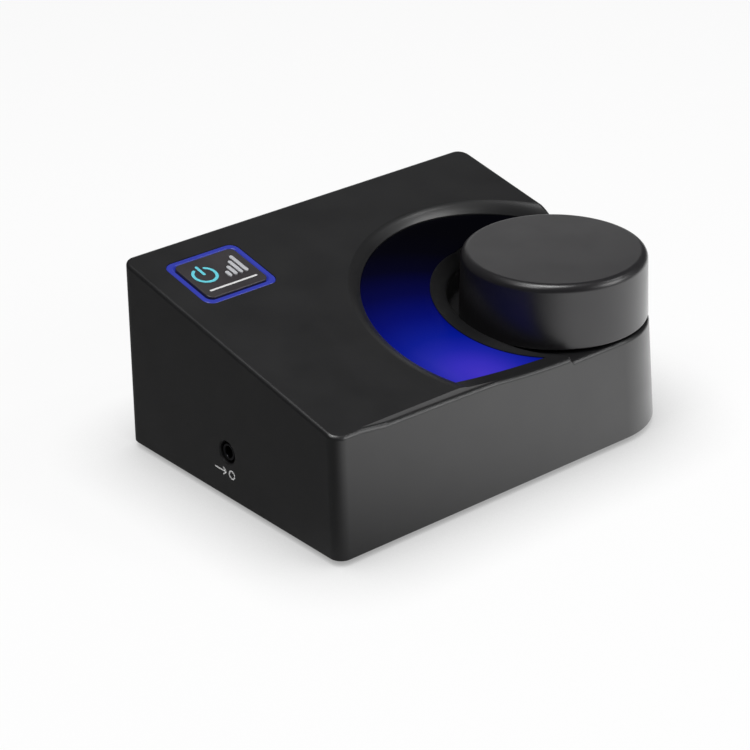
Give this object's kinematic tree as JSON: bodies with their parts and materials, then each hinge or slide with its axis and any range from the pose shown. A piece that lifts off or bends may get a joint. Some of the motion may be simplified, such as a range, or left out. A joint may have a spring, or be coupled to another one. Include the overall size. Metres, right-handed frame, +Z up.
{
  "type": "studio monitor controller",
  "caption": "Wedge-shaped desktop volume controller with a large endless knob in a lit scoop, a framed push tile, a side auxiliary input and rear audio sockets.",
  "frame": {"origin": "on the table, under the middle of the whole controller's box, rear sockets included", "axes": "+X to the right as seen from the user's side, +Y to the back where the sockets are, +Z up"},
  "size_m": [0.14, 0.11, 0.0613],
  "materials": {
    "shell_plastic": "satin moulded ABS with a very fine grain",
    "base_plastic": "matt moulded ABS",
    "knob_plastic": "soft satin moulded plastic",
    "window_plastic": "glossy smoked acrylic, lit blue from below",
    "frame_light": "lit translucent acrylic",
    "tile_plastic": "satin",
    "rubber": "matt",
    "circuit_board": "solder mask",
    "steel": "nickel plated",
    "brass": "machined",
    "black_plastic": "moulded glass-filled nylon",
    "white_plastic": "satin",
    "red_plastic": "satin",
    "lamp": "cast epoxy"
  },
  "bodies": {
    "housing": {"upper_shell": "shell_plastic", "base_plate": "base_plastic", "encoder_bushing": "steel", "encoder_washer": "steel", "encoder_nut": "steel", "encoder_body": "black_plastic", "encoder_board": "circuit_board", "light_window": "window_plastic", "light_board": "circuit_board", "led_1": "lamp", "led_2": "lamp", "led_3": "lamp", "led_4": "lamp", "led_5": "lamp", "badge_frame": "frame_light", "badge_switch": "steel", "badge_board": "circuit_board", "main_board": "circuit_board", "wireless_module": "steel", "audio_chip": "black_plastic", "capacitor_1": "steel", "capacitor_2": "steel", "capacitor_3": "steel", "aux_input_body": "black_plastic", "aux_input_bush": "steel", "output_jack_left": "black_plastic", "output_nut_left": "steel", "output_jack_right": "black_plastic", "output_nut_right": "steel", "input_body": "black_plastic", "input_barrel_left": "steel", "input_core_left": "white_plastic", "input_barrel_right": "steel", "input_core_right": "red_plastic", "power_inlet": "black_plastic", "power_pin": "steel", "base_screw_1": "steel", "base_screw_2": "steel", "base_screw_3": "steel", "base_screw_4": "steel", "board_screw_1": "steel", "board_screw_2": "steel", "board_screw_3": "steel", "board_screw_4": "steel", "foot_1": "rubber", "foot_2": "rubber", "foot_3": "rubber", "foot_4": "rubber"},
    "knob": {"knob_cap": "knob_plastic", "knob_insert": "brass", "encoder_shaft": "steel"},
    "push_tile": {"badge_tile": "tile_plastic", "badge_plunger": "black_plastic"}
  },
  "joints": [
    {"name": "knob_turn", "type": "hinge", "parent": "housing", "child": "knob", "pos_m": [0.04, -0.0252, 0.036], "axis": [0, 0, 1], "continuous": true},
    {"name": "tile_press", "type": "slide", "parent": "housing", "child": "push_tile", "axis": [0, 0.2099, -0.9777], "range_m": [0, 0.0005], "stiffness_N_per_m": 400, "springref_m": -0.001}
  ]
}
